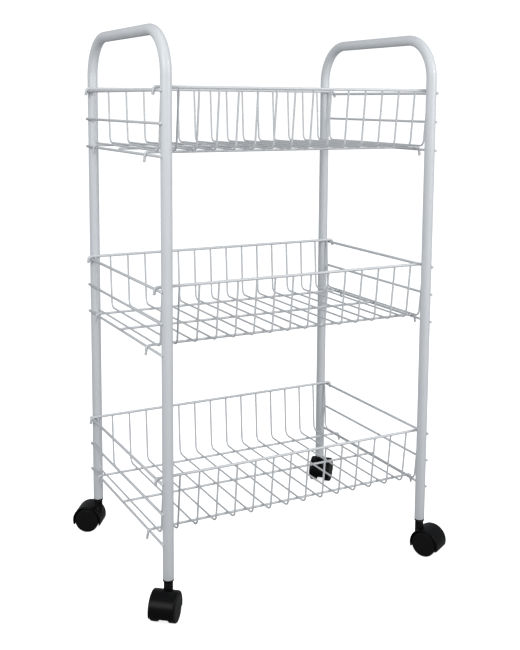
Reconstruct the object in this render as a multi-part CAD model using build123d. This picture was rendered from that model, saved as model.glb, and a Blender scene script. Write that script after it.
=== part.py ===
from build123d import *
import math
import os

# Three-tier rolling utility cart, in millimetres.
# The origin is on the floor under the middle of the cart. +X is to the right along the baskets,
# +Y is to the rear and +Z is up. Two bent-tube end frames stand on swivelling twin-wheel casters.
# Wire rails are welded across the outer faces of the legs, and three wire baskets hang on them
# by hooks turned down at the ends of their long wires.

# ---- Driving dimensions -------------------------------------------------------------------

FRAME_SPACING = 440.0      # between the planes of the two end frames
LEG_SPACING = 313.0        # between the front and rear legs of one end frame
TUBE_DIAMETER = 16.0
TUBE_WALL = 1.0
HANDLE_HEIGHT = 824.0      # centre line of the handle bar above the floor
HANDLE_BEND = 62.0         # centre-line radius of the two handle bends
TUBE_END_HEIGHT = 54.0     # open lower ends of the legs above the floor

TIER_HEIGHTS = {"bottom": 200.0, "middle": 472.5, "top": 745.0}   # rim centre lines
BASKET_DEPTH = 89.0        # rim centre line down to the floor rods' centre lines

RIM_WIRE = 4.0
FLOOR_WIRE = 3.5
RIB_WIRE = 2.5
TOP_RAIL_WIRE = 4.0
GUARD_RAIL_WIRE = 3.5
WELD_DEPTH = 0.25          # how far crossing wires are fused into each other
RIB_WELD = 0.45            # how far the rib ends are fused into the underside of a rim
HOOK_GAP = 0.25            # space between a basket hook and the rail it hangs on
LEG_GAP = 0.3              # space between a basket rim and the legs beside it

RAIL_OVERHANG = 4.0        # rail ends past the leg centre lines
UPPER_GUARD_DROP = 48.5    # upper guard rail below the rim
RIM_HOOK_DROP = 10.5       # hook tips below a rim's straight wire
ROD_HOOK_DROP = 14.0       # and below a floor rod's
HOOK_FLARE = 8.0           # degrees that the hook ends lean outwards
REST_OVERHANG = 3.0        # end of the middle floor rod past the rail it rests on

RIB_COUNT = 14             # evenly spaced ribs between the two end ribs
RIB_PITCH = 30.3
END_RIB_X = 222.5
RIB_CORNER = 10.0
WALL_SLOPES = {"front": 0.11, "rear": 0.07}     # inward lean of the basket walls
FLOOR_ROD_Y = {"front": -112.0, "middle": -2.0, "rear": 112.0}

WHEEL_DIAMETER = 40.0
WHEEL_WIDTH = 11.0
WHEEL_INNER_FACE = 7.5     # inner face of a wheel from the middle of the caster
WHEEL_EDGE = 2.0
WHEEL_BEVEL = 0.8          # how far the outer face falls away towards the tread
COVER_RADIUS = 13.0        # flat middle of the outer face
TRAIL = 16.0               # axle behind the swivel axis
AXLE_DIAMETER = 6.0
AXLE_LENGTH = 32.0
HOOD_WIDTH = 38.0
HOOD_WALL = 2.4
HOOD_EDGE = 2.2
HOOD_CLEARANCE = 1.6       # between the wheel treads and the hood
HOOD_REAR_END = 17.0       # degrees below the axle where the hood stops behind the wheels
HOOD_FRONT_END = 17.0      # and in front of them
WEB_WIDTH = 13.0
NECK_DIAMETER = 13.5
NECK_GAP = 0.4             # between the neck and the stem's collar
RUNNING_FIT = 0.06         # radial clearance of turning pieces
FIXED_FIT = 0.02           # radial clearance of pieces that are pressed together

STEM_DIAMETER = 8.0
STEM_BELOW_NECK_TOP = 22.0
STEM_ABOVE_TUBE_END = 22.0
COLLAR_DIAMETER = 12.0
COLLAR_HEIGHT = 2.2
FLANGE_HEIGHT = 1.5
SOCKET_LENGTH = 26.0

# Where each caster's wheels trail to at rest, in degrees from +X, seen from above.
CASTER_HEADINGS = {
    "front_left": -129.0,
    "rear_left": 146.0,
    "front_right": -62.0,
    "rear_right": 46.0,
}

# ---- Derived dimensions -------------------------------------------------------------------

FRAME_X = FRAME_SPACING / 2
LEG_Y = LEG_SPACING / 2
TUBE_RADIUS = TUBE_DIAMETER / 2
RIM_Y = LEG_Y - TUBE_RADIUS - LEG_GAP - RIM_WIRE / 2
TOP_RAIL_X = FRAME_X + TUBE_RADIUS + TOP_RAIL_WIRE / 2 - WELD_DEPTH
GUARD_RAIL_X = FRAME_X + TUBE_RADIUS + GUARD_RAIL_WIRE / 2 - WELD_DEPTH
TOP_RAIL_DROP = (RIM_WIRE + TOP_RAIL_WIRE) / 2 + HOOK_GAP
LOWER_GUARD_DROP = BASKET_DEPTH + (FLOOR_WIRE + GUARD_RAIL_WIRE) / 2 + HOOK_GAP
RIB_FLOOR_DROP = BASKET_DEPTH - (FLOOR_WIRE + RIB_WIRE) / 2 + WELD_DEPTH
WHEEL_RADIUS = WHEEL_DIAMETER / 2
HOOD_INNER_RADIUS = WHEEL_RADIUS + HOOD_CLEARANCE
HOOD_RADIUS = HOOD_INNER_RADIUS + HOOD_WALL
FLANGE_BOTTOM = TUBE_END_HEIGHT - FLANGE_HEIGHT
COLLAR_BOTTOM = FLANGE_BOTTOM - COLLAR_HEIGHT
NECK_TOP = COLLAR_BOTTOM - NECK_GAP
SIDES = {"left": -1, "right": 1}
ENDS = {"front": -1, "rear": 1}


def wire(path, diameter):
    """A round wire of the given diameter along a path."""
    start = Plane(origin=path @ 0, z_dir=path % 0)
    return sweep(start * Circle(diameter / 2), path=path)


def straight_wire(start, end, diameter):
    """A straight round wire between two points."""
    return wire(Line(start, end), diameter)


def upright_cylinder(diameter, bottom, top):
    """A cylinder on the Z axis between two heights."""
    return Pos(0, 0, bottom) * extrude(Circle(diameter / 2), amount=top - bottom)


# ---- End frames ---------------------------------------------------------------------------

def frame_tube(x):
    """One end frame: a tube bent into an inverted U, open at its lower ends."""
    path = FilletPolyline(
        (x, -LEG_Y, TUBE_END_HEIGHT),
        (x, -LEG_Y, HANDLE_HEIGHT),
        (x, LEG_Y, HANDLE_HEIGHT),
        (x, LEG_Y, TUBE_END_HEIGHT),
        radius=HANDLE_BEND,
    )
    start = Plane(origin=path @ 0, z_dir=path % 0)
    section = Circle(TUBE_RADIUS) - Circle(TUBE_RADIUS - TUBE_WALL)
    return sweep(start * section, path=path)


def rail(x, z, diameter):
    """A straight rail across the outer faces of one frame's two legs."""
    reach = LEG_Y + RAIL_OVERHANG
    return straight_wire((x, -reach, z), (x, reach, z), diameter)


def guard_rails(side, rim_z):
    """The two lower rails of one tier on one end frame."""
    x = side * GUARD_RAIL_X
    heights = (rim_z - UPPER_GUARD_DROP, rim_z - LOWER_GUARD_DROP)
    return Compound(children=[rail(x, z, GUARD_RAIL_WIRE) for z in heights])


# ---- Baskets ------------------------------------------------------------------------------

def hooked_wire(y, z, diameter, rail_x, rail_drop, hook_drop):
    """A long basket wire whose two ends turn down over the rails at +/- rail_x."""
    turn = math.radians(90 - HOOK_FLARE)
    corner_x = rail_x + rail_drop * math.tan(turn / 2)
    tip_x = corner_x + hook_drop * math.tan(math.radians(HOOK_FLARE))
    path = FilletPolyline(
        (-tip_x, y, z - hook_drop),
        (-corner_x, y, z),
        (corner_x, y, z),
        (tip_x, y, z - hook_drop),
        radius=rail_drop,
    )
    return wire(path, diameter)


def rib(x, rim_z):
    """One U-shaped rib: up the rear wall, across over the floor rods and up the front wall."""
    floor_z = rim_z - RIB_FLOOR_DROP
    top_z = rim_z - RIM_WIRE / 2 + RIB_WELD
    front_y, rear_y = (RIM_Y - slope * RIB_FLOOR_DROP for slope in WALL_SLOPES.values())
    path = FilletPolyline(
        (x, -RIM_Y, top_z),
        (x, -front_y, floor_z),
        (x, rear_y, floor_z),
        (x, RIM_Y, top_z),
        radius=RIB_CORNER,
    )
    return wire(path, RIB_WIRE)


def ribs(rim_z):
    """All the ribs of one basket, side by side."""
    first = -RIB_PITCH * (RIB_COUNT - 1) / 2
    places = [first + RIB_PITCH * i for i in range(RIB_COUNT)]
    return Compound(children=[rib(x, rim_z) for x in [-END_RIB_X, *places, END_RIB_X]])


def resting_rod(y, z):
    """The middle floor rod, which only rests on the lower guard rails."""
    reach = GUARD_RAIL_X + REST_OVERHANG
    return straight_wire((-reach, y, z), (reach, y, z), FLOOR_WIRE)


def basket(tier, rim_z):
    """The named pieces of one basket."""
    floor_z = rim_z - BASKET_DEPTH
    rim_hook = (RIM_WIRE, TOP_RAIL_X, TOP_RAIL_DROP, RIM_HOOK_DROP)
    floor_hook = (FLOOR_WIRE, GUARD_RAIL_X, LOWER_GUARD_DROP - BASKET_DEPTH, ROD_HOOK_DROP)
    pieces = {f"{tier}_basket_ribs": ribs(rim_z)}
    for end, sign in ENDS.items():
        rim = hooked_wire(sign * RIM_Y, rim_z, *rim_hook)
        pieces[f"{tier}_basket_{end}_rim"] = rim
        rod = hooked_wire(FLOOR_ROD_Y[end], floor_z, *floor_hook)
        pieces[f"{tier}_basket_{end}_floor_rod"] = rod
    pieces[f"{tier}_basket_middle_floor_rod"] = resting_rod(FLOOR_ROD_Y["middle"], floor_z)
    return pieces


# ---- Casters ------------------------------------------------------------------------------
# Each is built with its swivel axis on Z and its wheels trailing to +X, then turned and placed.

AXLE_LINE = Pos(TRAIL, 0, WHEEL_RADIUS) * Rot(90, 0, 0)


def across(radius, near, far):
    """A cylinder about the axle line, between two distances towards -Y."""
    return AXLE_LINE * Pos(0, 0, near) * extrude(Circle(radius), amount=far - near)


def socket():
    """The plastic plug in the end of a leg, with its flange and the bore for the stem."""
    flange = upright_cylinder(TUBE_DIAMETER, FLANGE_BOTTOM, TUBE_END_HEIGHT)
    plug_diameter = TUBE_DIAMETER - 2 * (TUBE_WALL + FIXED_FIT)
    plug = upright_cylinder(plug_diameter, TUBE_END_HEIGHT, TUBE_END_HEIGHT + SOCKET_LENGTH)
    bore_diameter = STEM_DIAMETER + 2 * FIXED_FIT
    bore = upright_cylinder(bore_diameter, FLANGE_BOTTOM, TUBE_END_HEIGHT + SOCKET_LENGTH)
    return flange + plug - bore


def stem():
    """The steel stem with its collar."""
    shaft = upright_cylinder(
        STEM_DIAMETER, NECK_TOP - STEM_BELOW_NECK_TOP, TUBE_END_HEIGHT + STEM_ABOVE_TUBE_END
    )
    return shaft + upright_cylinder(COLLAR_DIAMETER, COLLAR_BOTTOM, FLANGE_BOTTOM)


def hood():
    """The moulded body: a hood over both wheels, a web between them and the neck on top."""
    drum = across(HOOD_RADIUS, -HOOD_WIDTH / 2, HOOD_WIDTH / 2)
    drum = fillet(drum.edges().filter_by(GeomType.CIRCLE), HOOD_EDGE)
    neck = upright_cylinder(NECK_DIAMETER, WHEEL_RADIUS + HOOD_EDGE, NECK_TOP)
    body = drum + neck
    for near, far in ((WEB_WIDTH / 2, HOOD_WIDTH), (-HOOD_WIDTH, -WEB_WIDTH / 2)):
        body -= across(HOOD_INNER_RADIUS, near, far)
    body -= below_hood()
    fit = 2 * RUNNING_FIT
    bore_bottom = NECK_TOP - STEM_BELOW_NECK_TOP - FIXED_FIT - RUNNING_FIT
    body -= upright_cylinder(STEM_DIAMETER + fit, bore_bottom, NECK_TOP)
    return body - across(AXLE_DIAMETER / 2 + FIXED_FIT, -WEB_WIDTH, WEB_WIDTH)


def below_hood():
    """The block that cuts the hood off along the line between its two lower ends."""
    rear_angle = math.radians(-HOOD_REAR_END)
    front_angle = math.radians(180 + HOOD_FRONT_END)
    rear_x, rear_z = HOOD_RADIUS * math.cos(rear_angle), HOOD_RADIUS * math.sin(rear_angle)
    front_x, front_z = HOOD_RADIUS * math.cos(front_angle), HOOD_RADIUS * math.sin(front_angle)
    tilt = math.degrees(math.atan2(rear_z - front_z, rear_x - front_x))
    size = 4 * HOOD_RADIUS
    block = Pos(0, 0, -size / 2) * Box(size, size, size)
    return Pos(TRAIL + front_x, 0, WHEEL_RADIUS + front_z) * Rot(0, -tilt, 0) * block


def axle():
    """The steel axle, held in the web."""
    return across(AXLE_DIAMETER / 2, -AXLE_LENGTH / 2, AXLE_LENGTH / 2)


def wheel(side):
    """One wheel: a moulded disc with rounded edges, a bevelled cover and a blind bore."""
    inner = WHEEL_INNER_FACE
    outer = inner + WHEEL_WIDTH
    rim = WHEEL_RADIUS
    shoulder = outer - WHEEL_BEVEL
    halfway = ((rim + COVER_RADIUS) / 2, outer - WHEEL_BEVEL / 3)
    outline = Polyline((COVER_RADIUS, outer), (0, outer), (0, inner), (rim, inner), (rim, shoulder))
    bevel = ThreePointArc((rim, shoulder), halfway, (COVER_RADIUS, outer))
    face = make_face(outline + bevel)
    corners = face.vertices().sort_by(Axis.X)[-2:]
    disc = revolve(Plane.XZ * fillet(corners, WHEEL_EDGE), axis=Axis.Z)
    bore_radius = AXLE_DIAMETER / 2 + RUNNING_FIT
    bore_depth = AXLE_LENGTH / 2 + RUNNING_FIT - inner
    disc -= Pos(0, 0, inner) * extrude(Circle(bore_radius), amount=bore_depth)
    return AXLE_LINE * Rot(0 if side < 0 else 180, 0, 0) * disc


def caster(corner, place, heading):
    """The named pieces of one caster, turned to its heading under its leg."""
    pieces = {
        "socket": socket(),
        "stem": stem(),
        "hood": hood(),
        "axle": axle(),
        "wheel_a": wheel(-1),
        "wheel_b": wheel(1),
    }
    return {f"{corner}_caster_{name}": place * Rot(0, 0, heading) * piece
            for name, piece in pieces.items()}


# ---- The whole cart -----------------------------------------------------------------------

def cart():
    """Every piece of the cart by its node name."""
    pieces = {}
    for side_name, side in SIDES.items():
        pieces[f"{side_name}_frame_tube"] = frame_tube(side * FRAME_X)
        for tier, rim_z in TIER_HEIGHTS.items():
            top_rail = rail(side * TOP_RAIL_X, rim_z - TOP_RAIL_DROP, TOP_RAIL_WIRE)
            pieces[f"{side_name}_{tier}_top_rail"] = top_rail
            pieces[f"{side_name}_{tier}_guard_rails"] = guard_rails(side, rim_z)
        for end_name, end in ENDS.items():
            corner = f"{end_name}_{side_name}"
            place = Pos(side * FRAME_X, end * LEG_Y, 0)
            pieces.update(caster(corner, place, CASTER_HEADINGS[corner]))
    for tier, rim_z in TIER_HEIGHTS.items():
        pieces.update(basket(tier, rim_z))
    return pieces


os.makedirs("parts", exist_ok=True)
for name, piece in cart().items():
    export_step(piece, f"parts/{name}.step")
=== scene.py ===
import math

import bmesh
import bpy
from mathutils import Matrix, Vector


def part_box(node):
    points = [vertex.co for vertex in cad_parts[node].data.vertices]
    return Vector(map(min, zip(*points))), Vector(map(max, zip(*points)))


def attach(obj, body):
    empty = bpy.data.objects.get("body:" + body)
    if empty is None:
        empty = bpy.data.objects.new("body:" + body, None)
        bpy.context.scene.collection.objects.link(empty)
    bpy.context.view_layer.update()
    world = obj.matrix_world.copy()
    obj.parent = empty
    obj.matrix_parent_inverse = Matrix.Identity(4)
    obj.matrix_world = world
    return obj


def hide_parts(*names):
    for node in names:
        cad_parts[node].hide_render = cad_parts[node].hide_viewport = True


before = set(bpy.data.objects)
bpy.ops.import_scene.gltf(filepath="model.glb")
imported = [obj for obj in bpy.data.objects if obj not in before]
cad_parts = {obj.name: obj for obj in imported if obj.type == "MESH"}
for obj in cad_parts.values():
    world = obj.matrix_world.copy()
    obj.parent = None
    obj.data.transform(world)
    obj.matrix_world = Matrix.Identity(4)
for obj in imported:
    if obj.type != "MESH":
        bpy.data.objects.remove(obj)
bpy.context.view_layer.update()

# ==== End frames ===========================================================================
# Each end of the cart is one length of 16 mm steel tube bent into an inverted U on a mandrel
# bender. The two bends are 62 mm to the centre line, and the bar between them is the handle.
# The whole frame is powder coated after welding, so tube and rails share one white skin, though
# the wires are drawn in a darker copy of it as painted shade.


def add(tree, kind, settings=None, **links):
    """Adds a node with its settings, and fills its inputs with values or other nodes' outputs."""
    node = tree.nodes.new(kind)
    for name, value in (settings or {}).items():
        setattr(node, name, value)
    for name, value in links.items():
        place = int(name[1:]) if name[1:].isdigit() else name.replace("_", " ")
        socket = node.inputs[place]
        if isinstance(value, bpy.types.NodeSocket):
            tree.links.new(value, socket)
        else:
            socket.default_value = value
    return node


def linear(colour):
    """A linear RGBA colour from an sRGB hex value."""
    channels = [int(colour[i:i + 2], 16) / 255 for i in (0, 2, 4)]
    return [c / 12.92 if c <= 0.04045 else ((c + 0.055) / 1.055) ** 2.4 for c in channels] + [1.0]


def new_material(name):
    """An empty node material with its Principled shader and output."""
    material = bpy.data.materials.new(name)
    material.use_nodes = True
    tree = material.node_tree
    tree.nodes.clear()
    shader = add(tree, "ShaderNodeBsdfPrincipled")
    add(tree, "ShaderNodeOutputMaterial", Surface=shader.outputs["BSDF"])
    return material, tree, shader


THIN_PATCH = 0.045


def white_powder_coat(name, coat_tone, thin_tone, peel_size):
    """Polyester powder coat on steel: a thick satin skin that flows out with a slight orange
    peel, a touch greyer in the patches where it went on thin. peel_size is the width of one
    dimple in metres, drawn wider than the real dimples so that they show."""
    material, tree, shader = new_material(name)
    place = add(tree, "ShaderNodeTexCoord").outputs["Object"]
    thickness = add(tree, "ShaderNodeTexNoise", Vector=place, Scale=1 / THIN_PATCH, Detail=3.0,
                    Roughness=0.55)
    tone = add(tree, "ShaderNodeMix", {"data_type": "RGBA"}, Factor=thickness.outputs["Fac"])
    tone.inputs[6].default_value = linear(thin_tone)
    tone.inputs[7].default_value = linear(coat_tone)
    tree.links.new(tone.outputs[2], shader.inputs["Base Color"])
    peel = add(tree, "ShaderNodeTexNoise", Vector=place, Scale=1 / peel_size, Detail=1.5, Roughness=0.4)
    gloss = add(tree, "ShaderNodeMapRange", Value=peel.outputs["Fac"], To_Min=0.30, To_Max=0.42)
    tree.links.new(gloss.outputs["Result"], shader.inputs["Roughness"])
    dimples = add(tree, "ShaderNodeBump", Height=peel.outputs["Fac"], Strength=0.35, Distance=0.00012)
    tree.links.new(dimples.outputs["Normal"], shader.inputs["Normal"])
    shader.inputs["IOR"].default_value = 1.5
    shader.inputs["Coat Weight"].default_value = 0.15
    shader.inputs["Coat Roughness"].default_value = 0.2
    return material


tube_coat = white_powder_coat("White_powder_coat_on_tube", "E3E6E9", "DADEE2", peel_size=0.0022)


def new_tree(name, inputs):
    """A geometry tree with one geometry input, the named inputs, and one geometry output."""
    tree = bpy.data.node_groups.new(name, "GeometryNodeTree")
    tree.interface.new_socket("Geometry", in_out="INPUT", socket_type="NodeSocketGeometry")
    for label, kind in inputs.items():
        tree.interface.new_socket(label, in_out="INPUT", socket_type=f"NodeSocket{kind}")
    tree.interface.new_socket("Geometry", in_out="OUTPUT", socket_type="NodeSocketGeometry")
    return tree, tree.nodes.new("NodeGroupInput").outputs, tree.nodes.new("NodeGroupOutput").inputs


def finish_tree(tree, geometry, material, output):
    """Ends a tree: real geometry, smooth faces, and the named material."""
    real = add(tree, "GeometryNodeRealizeInstances", Geometry=geometry)
    smooth = add(tree, "GeometryNodeSetShadeSmooth", Geometry=real.outputs["Geometry"])
    coated = add(tree, "GeometryNodeSetMaterial", Geometry=smooth.outputs["Geometry"],
                 Material=material)
    tree.links.new(coated.outputs["Geometry"], output)


def bent_bar_tree():
    """Bends a line of straight runs to one radius and gives it a round section."""
    tree, given, result = new_tree("Bent_bar", {
        "Bend radius": "Float", "Bend steps": "Int", "Bar radius": "Float", "Sides": "Int",
        "Finish": "Material"})
    bent = add(tree, "GeometryNodeFilletCurve", {"mode": "POLY"}, Curve=given["Geometry"],
               Count=given["Bend steps"], Radius=given["Bend radius"])
    section = add(tree, "GeometryNodeCurvePrimitiveCircle", Resolution=given["Sides"],
                  Radius=given["Bar radius"])
    bar = add(tree, "GeometryNodeCurveToMesh", Curve=bent.outputs["Curve"],
              Profile_Curve=section.outputs["Curve"], Fill_Caps=True)
    finish_tree(tree, bar.outputs["Mesh"], given["Finish"], result["Geometry"])
    return tree


bent_bar = bent_bar_tree()


def give_tree(piece, tree, **values):
    """Puts a geometry tree on a piece and fills its named inputs by their identifiers."""
    modifier = piece.modifiers.new(tree.name, "NODES")
    modifier.node_group = tree
    for item in tree.interface.items_tree:
        key = item.name.lower().replace(" ", "_")
        if item.in_out == "INPUT" and key in values:
            modifier[item.identifier] = values[key]
    return modifier


def round_edges(piece, width, angle=40):
    """Rounds the cut ends and other sharp edges of a piece."""
    bevel = piece.modifiers.new("Rounded_edges", "BEVEL")
    bevel.width = width
    bevel.segments = 2
    bevel.limit_method = "ANGLE"
    bevel.angle_limit = math.radians(angle)
    bevel.harden_normals = False


SHARP_EDGE = math.radians(50)


def made_solid(piece):
    """Turns the result of a piece's modifiers into a plain mesh of its own."""
    name = piece.name
    view = bpy.context.evaluated_depsgraph_get()
    mesh = bpy.data.meshes.new_from_object(piece.evaluated_get(view), depsgraph=view)
    bpy.data.objects.remove(piece)
    mesh.name = name
    mesh.shade_smooth()
    mesh.set_sharp_from_angle(angle=SHARP_EDGE)
    solid = bpy.data.objects.new(name, mesh)
    bpy.context.scene.collection.objects.link(solid)
    return solid


def line_of(name, points):
    """A curve object of straight runs through the points."""
    curve = bpy.data.curves.new(name, "CURVE")
    curve.dimensions = "3D"
    run = curve.splines.new("POLY")
    run.points.add(len(points) - 1)
    for spot, point in zip(run.points, points):
        spot.co = (*point, 1.0)
    piece = bpy.data.objects.new(name, curve)
    bpy.context.scene.collection.objects.link(piece)
    return piece


def bar_piece(name, points, bar_radius, bend_radius, sides, material, bend_steps=10, end_round=0.3):
    """A bent bar or wire through the points. Its cut ends are rounded by a share of its radius."""
    piece = line_of(name, points)
    give_tree(piece, bent_bar, bend_radius=bend_radius, bend_steps=bend_steps, bar_radius=bar_radius,
              sides=sides, finish=material)
    round_edges(piece, bar_radius * end_round)
    return made_solid(piece)


HANDLE_BEND = 0.062
TUBE_SIDES = 48
TUBE_BEND_STEPS = 28
TUBE_END_ROUND = 0.06

for side in ("left", "right"):
    low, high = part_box(f"{side}_frame_tube")
    tube_radius = (high.x - low.x) / 2
    frame_x = (high.x + low.x) / 2
    leg_y = high.y - tube_radius
    bar_z = high.z - tube_radius
    corners = [(frame_x, -leg_y, low.z), (frame_x, -leg_y, bar_z),
               (frame_x, leg_y, bar_z), (frame_x, leg_y, low.z)]
    tube = bar_piece(f"{side}_bent_tube", corners, tube_radius, HANDLE_BEND, TUBE_SIDES, tube_coat,
                     TUBE_BEND_STEPS, TUBE_END_ROUND)
    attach(tube, "frame")
    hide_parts(f"{side}_frame_tube")

# ==== Rails ================================================================================
# Three straight steel wires lie across the outer faces of each pair of legs at every tier: a
# 4 mm top rail that the basket's rim hooks over, and two 3.5 mm guard rails. Their ends pass
# the legs by a few millimetres, and each crossing is projection welded under the coating.

TIERS = ("bottom", "middle", "top")

# Every wire is drawn this much thicker on all sides than the bare wire in the frame. About half
# of it is the coating, and the rest allows for bare wire that is taken a little too thin.
WIRE_ALLOWANCE = 0.0002
WIRE_SIDES = 14
STRAIGHT = 0.0
# Painted shade: the wires get a copy of the tubes' white coat made darker, standing in for the shade the
# thin wires show.
wire_coat_painted_shade = white_powder_coat("White_powder_coat_on_wire", "DCDEE0", "D2D5D8", peel_size=0.0016)


def straight_rail(name, low, high, material):
    """A straight rail along Y that fills a box."""
    radius = (high.x - low.x) / 2
    x, z = (low.x + high.x) / 2, (low.z + high.z) / 2
    ends = [(x, low.y, z), (x, high.y, z)]
    return bar_piece(name, ends, radius + WIRE_ALLOWANCE, STRAIGHT, WIRE_SIDES, material)


def joined(name, parts):
    """Joins pieces into one plain mesh."""
    whole = bmesh.new()
    for part in parts:
        whole.from_mesh(part.data)
    mesh = parts[0].data.copy()
    whole.to_mesh(mesh)
    whole.free()
    for part in parts:
        bpy.data.objects.remove(part)
    mesh.name = name
    piece = bpy.data.objects.new(name, mesh)
    bpy.context.scene.collection.objects.link(piece)
    return piece


rail_welds = []
for side, outward in (("left", -1), ("right", 1)):
    for tier in TIERS:
        low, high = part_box(f"{side}_{tier}_top_rail")
        rail = straight_rail(f"{side}_{tier}_top_rail_wire", low, high, wire_coat_painted_shade)
        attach(rail, "frame")
        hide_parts(f"{side}_{tier}_top_rail")
        rail_welds.append((outward, (low.z + high.z) / 2, (high.z - low.z) / 2))

        low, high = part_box(f"{side}_{tier}_guard_rails")
        thickness = Vector((0, 0, high.x - low.x))
        lower = straight_rail("lower", low, Vector((high.x, high.y, low.z)) + thickness, wire_coat_painted_shade)
        upper = straight_rail("upper", Vector((low.x, low.y, high.z)) - thickness, high, wire_coat_painted_shade)
        guards = joined(f"{side}_{tier}_guard_wires", [lower, upper])
        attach(guards, "frame")
        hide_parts(f"{side}_{tier}_guard_rails")
        for z in (low.z + thickness.z / 2, high.z - thickness.z / 2):
            rail_welds.append((outward, z, thickness.z / 2))


def weld_bead_tree():
    """Puts a small squashed bead of metal at every point of a mesh, no two quite alike."""
    tree, given, result = new_tree("Weld_beads", {
        "Bead size": "Vector", "Variation": "Float", "Seed": "Int", "Finish": "Material"})
    bead = add(tree, "GeometryNodeMeshUVSphere", Segments=8, Rings=5, Radius=1.0)
    shape = add(tree, "GeometryNodeTransform", Geometry=bead.outputs["Mesh"],
                Scale=given["Bead size"])
    least = add(tree, "ShaderNodeMath", {"operation": "SUBTRACT"}, _0=1.0, _1=given["Variation"])
    most = add(tree, "ShaderNodeMath", {"operation": "ADD"}, _0=1.0, _1=given["Variation"])
    chance = add(tree, "FunctionNodeRandomValue", {"data_type": "FLOAT"}, Seed=given["Seed"])
    tree.links.new(least.outputs[0], chance.inputs[2])
    tree.links.new(most.outputs[0], chance.inputs[3])
    beads = add(tree, "GeometryNodeInstanceOnPoints", Points=given["Geometry"],
                Instance=shape.outputs["Geometry"], Scale=chance.outputs[1])
    finish_tree(tree, beads.outputs["Instances"], given["Finish"], result["Geometry"])
    return tree


weld_beads = weld_bead_tree()


BEAD_VARIATION = 0.12


def bead_piece(name, points, size, seed, material):
    """Weld beads at the points, as one piece."""
    mesh = bpy.data.meshes.new(name)
    mesh.from_pydata(points, [], [])
    piece = bpy.data.objects.new(name, mesh)
    bpy.context.scene.collection.objects.link(piece)
    give_tree(piece, weld_beads, bead_size=size, variation=BEAD_VARIATION, seed=seed,
              finish=material)
    return made_solid(piece)


# A seam runs along the line where a rail and a leg touch, above the rail and below it. Its
# place is a share of the rail's radius out from the leg and up from the rail's middle.
SEAM_BEAD = (0.0013, 0.0036, 0.0011)
SEAM_SEED = 3
SEAM_OUT = 0.25
SEAM_UP = 0.75
tube_face = frame_x + tube_radius
seam_points = [
    (outward * (tube_face + wire_radius * SEAM_OUT), y, z + above * wire_radius * SEAM_UP)
    for outward, z, wire_radius in rail_welds
    for y in (-leg_y, leg_y)
    for above in (-1, 1)
]
seams = bead_piece("rail_weld_seams", seam_points, SEAM_BEAD, SEAM_SEED, wire_coat_painted_shade)
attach(seams, "frame")

# ==== Baskets ==============================================================================
# Each basket is welded steel wire, coated white. Two 4 mm rims and two 3.5 mm floor rods run
# the length of the cart, and their ends are turned down over the rails as hooks. A third rod
# rests in the middle. Sixteen thin U-shaped ribs are butted under the rims and spot welded
# on top of the rods.

HOOK_FLARE = math.radians(8)
RIM_HOOK_DROP = 0.0105
ROD_HOOK_DROP = 0.014
RIB_RADIUS = 0.00125
RIB_CORNER = 0.010
FRONT_WALL_SLOPE = 0.11
REAR_WALL_SLOPE = 0.07
END_RIB_X = 0.2225
RIB_TOP = 0.7
WIRE_END_ROUND = 0.45
# Painted shade: the ribs and their weld spots get a copy of the same white coat made darker still than the
# wires, standing in for the shade on the thin ribs.
rib_coat_painted_shade = white_powder_coat("White_powder_coat_on_ribs", "D6D8DA", "CCCFD2", peel_size=0.0014)


def hooked_bar(name, node, rail_node, hook_drop, material):
    """A long wire of the basket, with both ends turned down over the rails."""
    low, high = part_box(node)
    rail_low, rail_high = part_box(rail_node)
    radius = (high.y - low.y) / 2
    y, z = (low.y + high.y) / 2, high.z - radius
    rail_x = abs(rail_low.x + rail_high.x) / 2
    rail_z = rail_low.z + (rail_high.x - rail_low.x) / 2
    bend = z - rail_z
    corner_x = rail_x + bend * math.tan((math.pi / 2 - HOOK_FLARE) / 2)
    tip_x = corner_x + hook_drop * math.tan(HOOK_FLARE)
    points = [(-tip_x, y, z - hook_drop), (-corner_x, y, z),
              (corner_x, y, z), (tip_x, y, z - hook_drop)]
    return bar_piece(name, points, radius + WIRE_ALLOWANCE, bend, WIRE_SIDES, material,
                     end_round=WIRE_END_ROUND)


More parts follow.
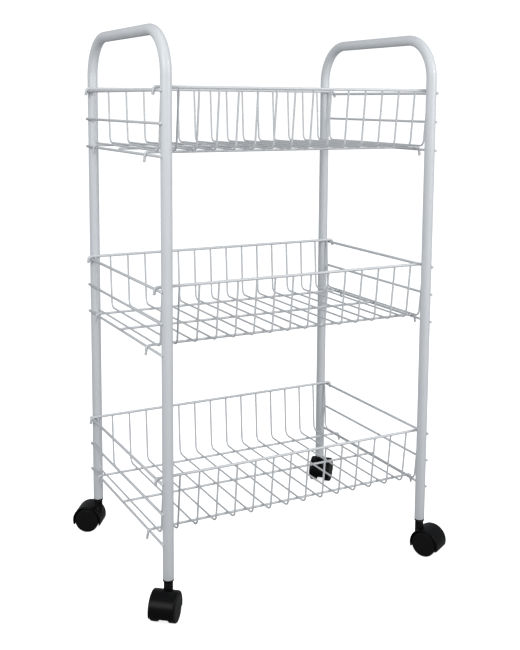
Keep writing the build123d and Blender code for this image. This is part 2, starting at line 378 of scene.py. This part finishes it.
def rib_row_tree():
    """Repeats one bent rib at an even pitch, with one more at each end of the row."""
    tree, given, result = new_tree("Rib_row", {
        "Corner radius": "Float", "Rib radius": "Float", "Count": "Int", "Pitch": "Float",
        "End place": "Float", "Finish": "Material"})
    bent = add(tree, "GeometryNodeFilletCurve", {"mode": "POLY"}, Curve=given["Geometry"],
               Count=10, Radius=given["Corner radius"])
    section = add(tree, "GeometryNodeCurvePrimitiveCircle", Resolution=12,
                  Radius=given["Rib radius"])
    rib = add(tree, "GeometryNodeCurveToMesh", Curve=bent.outputs["Curve"],
              Profile_Curve=section.outputs["Curve"], Fill_Caps=True)
    gaps = add(tree, "ShaderNodeMath", {"operation": "SUBTRACT"}, _0=given["Count"], _1=1.0)
    span = add(tree, "ShaderNodeMath", {"operation": "MULTIPLY"}, _0=gaps.outputs[0], _1=given["Pitch"])
    first = add(tree, "ShaderNodeMath", {"operation": "MULTIPLY"}, _0=span.outputs[0], _1=-0.5)
    start = add(tree, "ShaderNodeCombineXYZ", X=first.outputs[0])
    step = add(tree, "ShaderNodeCombineXYZ", X=given["Pitch"])
    row = add(tree, "GeometryNodeMeshLine", Count=given["Count"],
              Start_Location=start.outputs[0], Offset=step.outputs[0])
    left_end = add(tree, "ShaderNodeMath", {"operation": "MULTIPLY"}, _0=given["End place"], _1=-1.0)
    across = add(tree, "ShaderNodeMath", {"operation": "MULTIPLY"}, _0=given["End place"], _1=2.0)
    end_start = add(tree, "ShaderNodeCombineXYZ", X=left_end.outputs[0])
    end_step = add(tree, "ShaderNodeCombineXYZ", X=across.outputs[0])
    ends = add(tree, "GeometryNodeMeshLine", Count=2, Start_Location=end_start.outputs[0],
               Offset=end_step.outputs[0])
    places = add(tree, "GeometryNodeJoinGeometry")
    tree.links.new(row.outputs["Mesh"], places.inputs[0])
    tree.links.new(ends.outputs["Mesh"], places.inputs[0])
    ribs = add(tree, "GeometryNodeInstanceOnPoints", Points=places.outputs[0],
               Instance=rib.outputs["Mesh"])
    finish_tree(tree, ribs.outputs["Instances"], given["Finish"], result["Geometry"])
    return tree


rib_row = rib_row_tree()
RIB_COUNT = 14
RIB_PITCH = 0.0303
SPOT_BEAD = (0.0019, 0.0019, 0.0008)
FIRST_SPOT_SEED = 20

for spot_seed, tier in enumerate(TIERS, FIRST_SPOT_SEED):
    body = f"{tier}_basket"
    for end in ("front", "rear"):
        rim = hooked_bar(f"{tier}_{end}_rim_wire", f"{body}_{end}_rim", f"left_{tier}_top_rail",
                         RIM_HOOK_DROP, wire_coat_painted_shade)
        rod = hooked_bar(f"{tier}_{end}_floor_wire", f"{body}_{end}_floor_rod", f"left_{tier}_guard_rails",
                         ROD_HOOK_DROP, wire_coat_painted_shade)
        for piece, node in ((rim, f"{body}_{end}_rim"), (rod, f"{body}_{end}_floor_rod")):
            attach(piece, body)
            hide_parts(node)

    low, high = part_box(f"{body}_middle_floor_rod")
    radius, y, z = (high.y - low.y) / 2, (low.y + high.y) / 2, (low.z + high.z) / 2
    rest = bar_piece(f"{tier}_middle_floor_wire", [(low.x, y, z), (high.x, y, z)],
                     radius + WIRE_ALLOWANCE, STRAIGHT, WIRE_SIDES, wire_coat_painted_shade,
                     end_round=WIRE_END_ROUND)
    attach(rest, body)
    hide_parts(f"{body}_middle_floor_rod")

    low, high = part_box(f"{body}_ribs")
    rim_low, rim_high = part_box(f"{body}_rear_rim")
    rim_radius = (rim_high.y - rim_low.y) / 2
    rim_y, rim_z = rim_high.y - rim_radius, rim_high.z - rim_radius
    floor_z = low.z + RIB_RADIUS
    wall_height = rim_z - floor_z
    front_y = rim_y - FRONT_WALL_SLOPE * wall_height
    rear_y = rim_y - REAR_WALL_SLOPE * wall_height
    top_z = rim_z - rim_radius * RIB_TOP
    path = [(0, -rim_y, top_z), (0, -front_y, floor_z), (0, rear_y, floor_z), (0, rim_y, top_z)]
    ribs = line_of(f"{tier}_rib_wires", path)
    give_tree(ribs, rib_row, corner_radius=RIB_CORNER, rib_radius=RIB_RADIUS + WIRE_ALLOWANCE,
              count=RIB_COUNT, pitch=RIB_PITCH, end_place=END_RIB_X, finish=rib_coat_painted_shade)
    ribs = made_solid(ribs)
    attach(ribs, body)
    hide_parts(f"{body}_ribs")

    row = [RIB_PITCH * (i - (RIB_COUNT - 1) / 2) for i in range(RIB_COUNT)]
    crossings = []
    for x in [-END_RIB_X, *row, END_RIB_X]:
        for part in ("front", "middle", "rear"):
            rod_low, rod_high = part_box(f"{body}_{part}_floor_rod")
            crossings.append((x, (rod_low.y + rod_high.y) / 2, floor_z - RIB_RADIUS))
        for y in (-rim_y, rim_y):
            crossings.append((x, y, rim_z - rim_radius))
    spots = bead_piece(f"{tier}_rib_weld_spots", crossings, SPOT_BEAD, spot_seed, rib_coat_painted_shade)
    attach(spots, body)

# ==== Casters ==============================================================================
# Four twin-wheel furniture casters. A black plastic plug is driven into each leg, with a
# flange that covers the tube's cut end. A zinc-plated steel stem is pressed into the plug, and
# the moulded hood turns on it. Two plastic wheels run on a pin through the hood's web.


FLOW_MARK = 0.018


def moulded_black(name, tone, flow_tone, grain, smoothest, roughest):
    """Injection-moulded black plastic from a spark-textured mould: a satin skin with soft flow
    marks, and a fine grain that breaks up the highlights. grain is the width of one grain in
    metres, drawn wider than the real grain so that it shows."""
    material, tree, shader = new_material(name)
    place = add(tree, "ShaderNodeTexCoord").outputs["Object"]
    flow = add(tree, "ShaderNodeTexNoise", Vector=place, Scale=1 / FLOW_MARK, Detail=2.0,
               Roughness=0.5)
    colour = add(tree, "ShaderNodeMix", {"data_type": "RGBA"}, Factor=flow.outputs["Fac"])
    colour.inputs[6].default_value = linear(tone)
    colour.inputs[7].default_value = linear(flow_tone)
    tree.links.new(colour.outputs[2], shader.inputs["Base Color"])
    spark = add(tree, "ShaderNodeTexNoise", Vector=place, Scale=1 / grain, Detail=2.0, Roughness=0.6)
    gloss = add(tree, "ShaderNodeMapRange", Value=flow.outputs["Fac"], To_Min=smoothest,
                To_Max=roughest)
    tree.links.new(gloss.outputs["Result"], shader.inputs["Roughness"])
    texture = add(tree, "ShaderNodeBump", Height=spark.outputs["Fac"], Strength=0.3, Distance=0.0001)
    tree.links.new(texture.outputs["Normal"], shader.inputs["Normal"])
    shader.inputs["IOR"].default_value = 1.49
    shader.inputs["Specular IOR Level"].default_value = 0.1
    return material


TURNING_MARK = 0.0012


def zinc_plate():
    """Bright zinc plate on turned steel: a cool grey metal, its gloss broken up by fine marks."""
    material, tree, shader = new_material("Bright_zinc_plate")
    place = add(tree, "ShaderNodeTexCoord").outputs["Object"]
    marks = add(tree, "ShaderNodeTexNoise", Vector=place, Scale=1 / TURNING_MARK, Detail=2.0)
    gloss = add(tree, "ShaderNodeMapRange", Value=marks.outputs["Fac"], To_Min=0.22, To_Max=0.36)
    tree.links.new(gloss.outputs["Result"], shader.inputs["Roughness"])
    shader.inputs["Base Color"].default_value = linear("F0F2F4")
    shader.inputs["Metallic"].default_value = 1.0
    return material


hood_plastic = moulded_black("Black_nylon_hood", "070708", "0B0B0C",
                             grain=0.0009, smoothest=0.28, roughest=0.36)
wheel_plastic = moulded_black("Black_polypropylene_wheel", "111111", "151515",
                              grain=0.0007, smoothest=0.36, roughest=0.46)
zinc = zinc_plate()


SAME_POINT = 1e-6
MOULDED_EDGE = math.radians(32)


def smooth_copy(name, node, material):
    """A smooth-shaded copy of a CAD node, its loose triangles merged."""
    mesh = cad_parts[node].data.copy()
    shell = bmesh.new()
    shell.from_mesh(mesh)
    bmesh.ops.remove_doubles(shell, verts=shell.verts, dist=SAME_POINT)
    shell.to_mesh(mesh)
    shell.free()
    mesh.name = name
    mesh.materials.clear()
    mesh.materials.append(material)
    mesh.shade_smooth()
    mesh.set_sharp_from_angle(angle=MOULDED_EDGE)
    piece = bpy.data.objects.new(name, mesh)
    bpy.context.scene.collection.objects.link(piece)
    return piece


def middle_of(node):
    """The middle of a CAD node's box."""
    low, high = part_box(node)
    return (Vector(low) + Vector(high)) / 2


# Everything further than FACE_FROM from the middle of a caster is a wheel's outer face. In the
# frame it lies half a millimetre inside the edge of the hood.
FACE_FROM = 0.0165
FACE_MOVE = 0.001


def stand_faces(piece, middle, outwards):
    """Moves a wheel's outer face out along the axle, to half a millimetre proud of the hood."""
    for vertex in piece.data.vertices:
        if (vertex.co - middle).dot(outwards) > FACE_FROM:
            vertex.co += outwards * FACE_MOVE


FLANGE_LIP = 0.0008
SAME_LEVEL = 1e-5


def deepen_flange(piece):
    """Carries a socket's flange down over the top of the steel collar as a lip."""
    lowest = min(vertex.co.z for vertex in piece.data.vertices)
    for vertex in piece.data.vertices:
        if vertex.co.z < lowest + SAME_LEVEL:
            vertex.co.z -= FLANGE_LIP


for corner in ("front_left", "front_right", "rear_left", "rear_right"):
    middle = (middle_of(f"{corner}_caster_wheel_a") + middle_of(f"{corner}_caster_wheel_b")) / 2
    pieces = {
        "socket": ("frame", "black_plastic", hood_plastic),
        "stem": ("frame", "zinc_plated_steel", zinc),
        "hood": (f"{corner}_swivel", "black_plastic", hood_plastic),
        "axle": (f"{corner}_swivel", "zinc_plated_steel", zinc),
        "wheel_a": (f"{corner}_wheel_a", "black_wheel_plastic", wheel_plastic),
        "wheel_b": (f"{corner}_wheel_b", "black_wheel_plastic", wheel_plastic),
    }
    for part, (body, slot, material) in pieces.items():
        node = f"{corner}_caster_{part}"
        piece = smooth_copy(f"{corner}_{part}_moulding", node, material)
        if part in ("wheel_a", "wheel_b"):
            stand_faces(piece, middle, (middle_of(node) - middle).normalized())
        if part == "socket":
            deepen_flange(piece)
        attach(piece, body)
        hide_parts(node)

# ==== Studio ===============================================================================
# A pale floor and a white surround that read almost white, with a weak soft box overhead and
# a stronger one on each side, above the handles and aimed down at the top basket.

floor_material = bpy.data.materials.new("Pale_studio_floor")
floor_material.use_nodes = True
floor_tree = floor_material.node_tree
floor_tree.nodes.clear()
seen_paper = add(floor_tree, "ShaderNodeBsdfDiffuse", Color=linear("F2F2F2"))
back_light = add(floor_tree, "ShaderNodeEmission", Color=(1, 1, 1, 1), Strength=0.80)
lit_paper = add(floor_tree, "ShaderNodeAddShader", _0=seen_paper.outputs[0],
                _1=back_light.outputs[0])
dull_paper = add(floor_tree, "ShaderNodeBsdfDiffuse", Color=linear("A8A8A8"))
floor_ray = add(floor_tree, "ShaderNodeLightPath")
paper = add(floor_tree, "ShaderNodeMixShader", _0=floor_ray.outputs["Is Camera Ray"],
            _1=dull_paper.outputs[0], _2=lit_paper.outputs[0])
add(floor_tree, "ShaderNodeOutputMaterial", Surface=paper.outputs[0])
FLOOR_REACH = 60.0
floor_mesh = bpy.data.meshes.new("studio_floor")
floor_mesh.from_pydata(
    [(-FLOOR_REACH, -FLOOR_REACH, 0), (FLOOR_REACH, -FLOOR_REACH, 0),
     (FLOOR_REACH, FLOOR_REACH, 0), (-FLOOR_REACH, FLOOR_REACH, 0)],
    [], [(0, 1, 2, 3)])
floor_mesh.materials.append(floor_material)
floor = bpy.data.objects.new("studio_floor", floor_mesh)
bpy.context.scene.collection.objects.link(floor)


def soft_light(name, place, target, size, power):
    """A square soft box at a place, aimed at a target, in metres and watts."""
    lamp = bpy.data.lights.new(name, "AREA")
    lamp.shape = "SQUARE"
    lamp.size = size
    lamp.energy = power
    light = bpy.data.objects.new(name, lamp)
    bpy.context.scene.collection.objects.link(light)
    light.location = place
    light.rotation_mode = "QUATERNION"
    light.rotation_quaternion = (Vector(target) - Vector(place)).to_track_quat("-Z", "Y")


soft_light("Overhead_soft_box", (-0.2, -0.4, 1.9), (0, 0, 0.5), 1.4, 2)
soft_light("Left_soft_box", (-1.6, -1.0, 1.28), (0, 0, 0.75), 1.1, 18)
soft_light("Right_soft_box", (1.15, -1.6, 1.25), (0, 0, 0.7), 1.1, 21)

world = bpy.data.worlds.new("White_surround")
bpy.context.scene.world = world
world.use_nodes = True
world.node_tree.nodes.clear()
seen = add(world.node_tree, "ShaderNodeBackground", Color=(1, 1, 1, 1), Strength=1.1)
lighting = add(world.node_tree, "ShaderNodeBackground", Color=linear("F1F5FA"), Strength=0.40)
ray = add(world.node_tree, "ShaderNodeLightPath")
surround = add(world.node_tree, "ShaderNodeMixShader", _0=ray.outputs["Is Camera Ray"],
               _1=lighting.outputs[0], _2=seen.outputs[0])
add(world.node_tree, "ShaderNodeOutputWorld", Surface=surround.outputs[0])
bpy.context.scene.view_settings.view_transform = "Standard"

# The camera stands at the height of the top basket, off the cart's front left corner.
camera_data = bpy.data.cameras.new("Camera")
camera_data.sensor_width = 36.0
camera_data.lens = 53.09
camera_data.shift_y = -0.1646
camera_data.clip_end = 200.0
camera = bpy.data.objects.new("Camera", camera_data)
bpy.context.scene.collection.objects.link(camera)
turn, tilt, lean = math.radians(27.754), math.radians(6.916), math.radians(0.390)
camera.matrix_world = (
    Matrix.Translation((-0.70777, -1.35491, 0.72604))
    @ Matrix.Rotation(-turn, 4, "Z")
    @ Matrix.Rotation(math.pi / 2 - tilt, 4, "X")
    @ Matrix.Rotation(lean, 4, "Z")
)
bpy.context.scene.camera = camera
